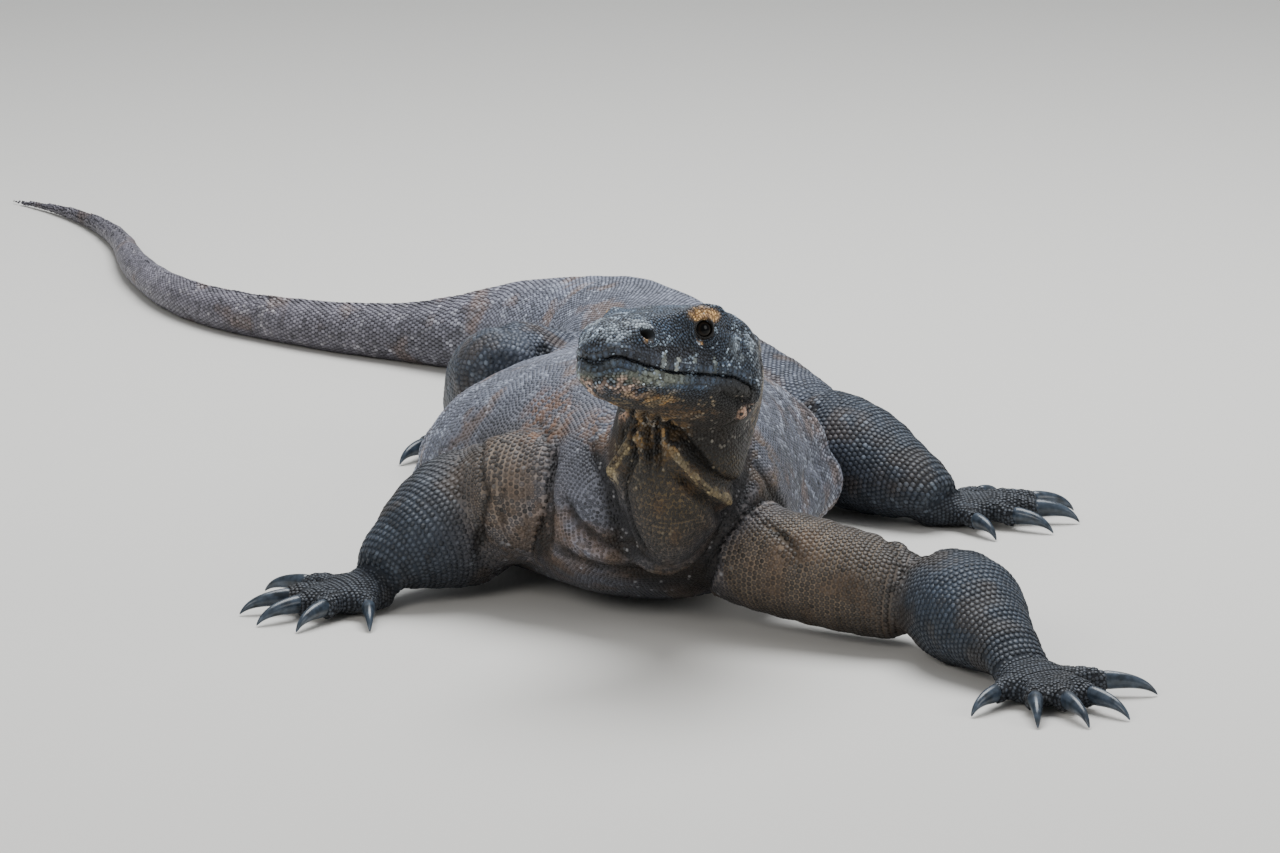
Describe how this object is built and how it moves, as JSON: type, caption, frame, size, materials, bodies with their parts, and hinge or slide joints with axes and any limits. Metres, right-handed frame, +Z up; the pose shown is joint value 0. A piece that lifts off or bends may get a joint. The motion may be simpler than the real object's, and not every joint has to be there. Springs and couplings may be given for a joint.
{
  "type": "komodo dragon model",
  "caption": "Life-size still model of a komodo dragon lying on its belly with its head raised and its tail swept to one side.",
  "frame": {"origin": "on the floor, inside the flat of the belly, under the front half of the trunk", "axes": "+Z up; -Y the way the animal faces; +X towards the animal's left side"},
  "size_m": [0.9999, 1.9411, 0.2744],
  "materials": {
    "hide": "dry scaly hide, slate and brown, dull",
    "claw": "dark horn, smooth and slightly glossy",
    "eye": "wet, glossy, dark brown"
  },
  "bodies": {
    "root": {"trunk": "hide", "neck": "hide", "tail_1": "hide", "tail_2": "hide", "tail_3": "hide", "tail_4": "hide", "tail_5": "hide", "head": "hide", "lower_jaw": "hide", "eye_left": "eye", "eye_right": "eye", "upper_arm_right": "hide", "forearm_right": "hide", "hand_right": "hide", "claw_hand_right_1": "claw", "claw_hand_right_2": "claw", "claw_hand_right_3": "claw", "claw_hand_right_4": "claw", "claw_hand_right_5": "claw", "upper_arm_left": "hide", "forearm_left": "hide", "hand_left": "hide", "claw_hand_left_1": "claw", "claw_hand_left_2": "claw", "claw_hand_left_3": "claw", "claw_hand_left_4": "claw", "claw_hand_left_5": "claw", "thigh_right": "hide", "shank_right": "hide", "foot_right": "hide", "claw_foot_right_1": "claw", "claw_foot_right_2": "claw", "claw_foot_right_3": "claw", "claw_foot_right_4": "claw", "claw_foot_right_5": "claw", "thigh_left": "hide", "shank_left": "hide", "foot_left": "hide", "claw_foot_left_1": "claw", "claw_foot_left_2": "claw", "claw_foot_left_3": "claw", "claw_foot_left_4": "claw", "claw_foot_left_5": "claw"}
  },
  "joints": []
}
